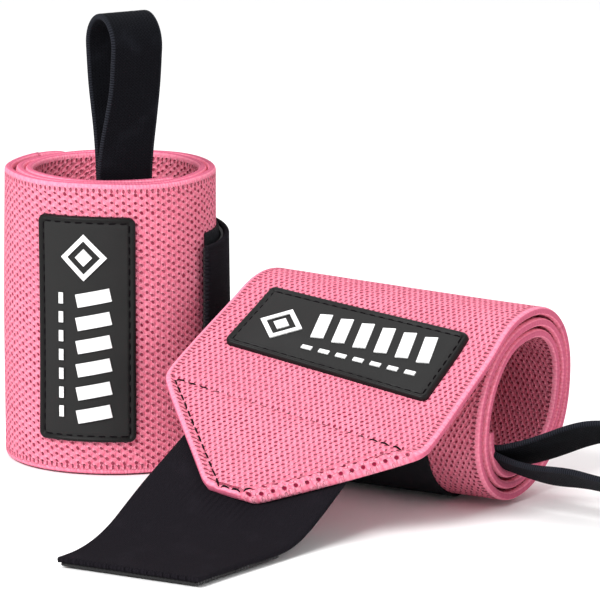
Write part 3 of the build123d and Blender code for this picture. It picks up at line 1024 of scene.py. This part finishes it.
# %% Loop path and mesh
def loop_frame(wrap):
    """Where the loop leaves the band: the point, and the ways out, along the wall and off it."""
    at = band_length - loop_from_end
    depth = -half - loop_thickness
    point = wrap.place(at, wrap.loop_edge, depth)
    wall = wrap.place(at - 0.5, wrap.loop_edge, depth) - wrap.place(at + 0.5, wrap.loop_edge, depth)
    away = wrap.section.across * wrap.loop_side
    wall = wall / np.linalg.norm(wall)
    off = np.cross(away, wall) * wrap.loop_side
    return point, away, wall, off


loop_bulge = 1.4
loop_rises, loop_turns = {"standing": 1.5, "lying": 5.0}, {"standing": 18.0, "lying": 0.0}
wall_curve = 1 / 23.0
sewn_inset = 2
bow_radius = (loop_gap + loop_thickness) / 2
bow_centre = loop_reach - clearance - loop_thickness / 2 - bow_radius
leg_offset = (loop_thickness + clearance) / 2
spread = math.asin((bow_radius - leg_offset) / bow_centre)
leg = bow_centre * math.cos(spread)
loop_path = Path((-loop_sewn, -leg_offset), 0.0,
                 [(loop_sewn, 0), (0.01, -math.degrees(spread)), (leg, 0),
                  (bow_radius * (math.pi + 2 * spread), 180 + 2 * math.degrees(spread)), (leg, 0),
                  (0.01, -math.degrees(spread)), (loop_sewn, 0)])

for wrap in wraps:
    point, away, wall, off = loop_frame(wrap)

    def place_loop(along, across, out):
        (x, y), _ = loop_path.at(min(max(along, 0), loop_path.end - 1e-6), out)
        free = min(max(x / loop_reach, 0), 1)
        bulge = loop_bulge * math.sin(math.pi * free) * (1 if y > 0 else -1) * smooth(abs(y), 0, 0.4)
        sag = across ** 2 / 2 * wall_curve * smooth(x, 16, -2)
        rise = loop_rises[wrap.name] * smooth(x, 0, 28)
        swing = math.radians(loop_turns[wrap.name]) * smooth(x, 0, loop_reach * 0.6)
        side, y = across, y - sag + bulge
        side, y = side * math.cos(swing) - y * math.sin(swing), side * math.sin(swing) + y * math.cos(swing)
        return point + away * x + wall * side + off * y + np.array((0, 0, rise))

    def loop_faces(along, across):
        distance = min(across + loop_width / 2, loop_width / 2 - across, along, loop_path.end - along)
        return round_edge(loop_thickness / 2, -loop_thickness / 2, distance, 0.75)

    rows = spaced(0, loop_path.end, 1.1)
    loop = shell(f"{wrap.name}_thumb_strap", rows, lambda along: (-loop_width / 2, loop_width / 2), loop_faces,
                 place_loop, loop_cloth, 0.8)
    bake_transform(loop)
    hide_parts(f"{wrap.name}_loop_tab", f"{wrap.name}_thumb_loop")

    def place_stitch(along, across, out):
        return point + away * along + wall * across + off * (out - across ** 2 / 2 * wall_curve)

    lines = rectangle((sewn_inset - loop_sewn, sewn_inset - loop_width / 2),
                      (-sewn_inset, loop_width / 2 - sewn_inset))
    inner_face = leg_offset + loop_thickness / 2
    loop_thread = stitch_rows(f"{wrap.name}_thumb_thread", place_stitch, lines,
                              lambda along, across: inner_face - 0.1, 3.0, 2.5, 0.45, 3)
    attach(loop_thread, f"{wrap.name}_roll")
    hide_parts(f"{wrap.name}_loop_stitching")
    print(loop.name, "reaches", np.round(point + away * loop_reach, 1))

# %% [markdown]
# ## Floor, light and camera
# The pair stands on a plain pale floor in soft studio light: one large soft lamp above and to the left, a
# weaker one from the right and a bright even surrounding, so the shadows stay light. The camera looks from
# the front with a long lens.

# %% Stage
floor_mesh = bpy.data.meshes.new("floor")
reach, level = 6, -0.0004
floor_mesh.from_pydata([(-reach, -reach, level), (reach, -reach, level), (reach, reach, level),
                        (-reach, reach, level)], [], [(0, 1, 2, 3)])
floor = bpy.data.objects.new("floor", floor_mesh)
bpy.context.scene.collection.objects.link(floor)
floor_paint = bpy.data.materials.new("floor_paint")
floor_paint.use_nodes = True
floor_shader = floor_paint.node_tree.nodes["Principled BSDF"]
floor_shader.inputs["Base Color"].default_value = (0.97, 0.97, 0.97, 1)
floor_shader.inputs["Roughness"].default_value = 0.9
floor_mesh.materials.append(floor_paint)

bpy.context.scene.view_settings.view_transform = "Standard"
world = bpy.data.worlds.new("studio")
bpy.context.scene.world = world
world.use_nodes = True
world.node_tree.nodes["Background"].inputs[0].default_value = (1, 1, 1, 1)
world.node_tree.nodes["Background"].inputs[1].default_value = 0.5


def lamp(name, place, aim, size, power):
    light = bpy.data.lights.new(name, "AREA")
    light.size, light.energy = size, power
    holder = bpy.data.objects.new(name, light)
    holder.location = place
    holder.rotation_euler = (Vector(aim) - Vector(place)).to_track_quat("-Z", "Y").to_euler()
    bpy.context.scene.collection.objects.link(holder)


lamp("key", (-0.75, -0.8, 0.95), (0, 0, 0.03), 0.7, 24.0)
lamp("fill", (0.95, -0.7, 0.5), (0, 0, 0.03), 0.9, 4.0)
lamp("top", (0.05, 0.5, 1.1), (0, 0.1, 0.0), 1.0, 6.0)

# %% Camera
camera_tilt, camera_turn = 11.246, 2.4597   # degrees below level, and to the right
camera_data = bpy.data.cameras.new("camera")
camera_data.lens, camera_data.sensor_width = 370.3, 36.0
camera = bpy.data.objects.new("camera", camera_data)
camera.location = (-0.07693, -1.59893, 0.37280)
camera.rotation_euler = (math.radians(90 - camera_tilt), 0, math.radians(-camera_turn))
bpy.context.scene.collection.objects.link(camera)
bpy.context.scene.camera = camera
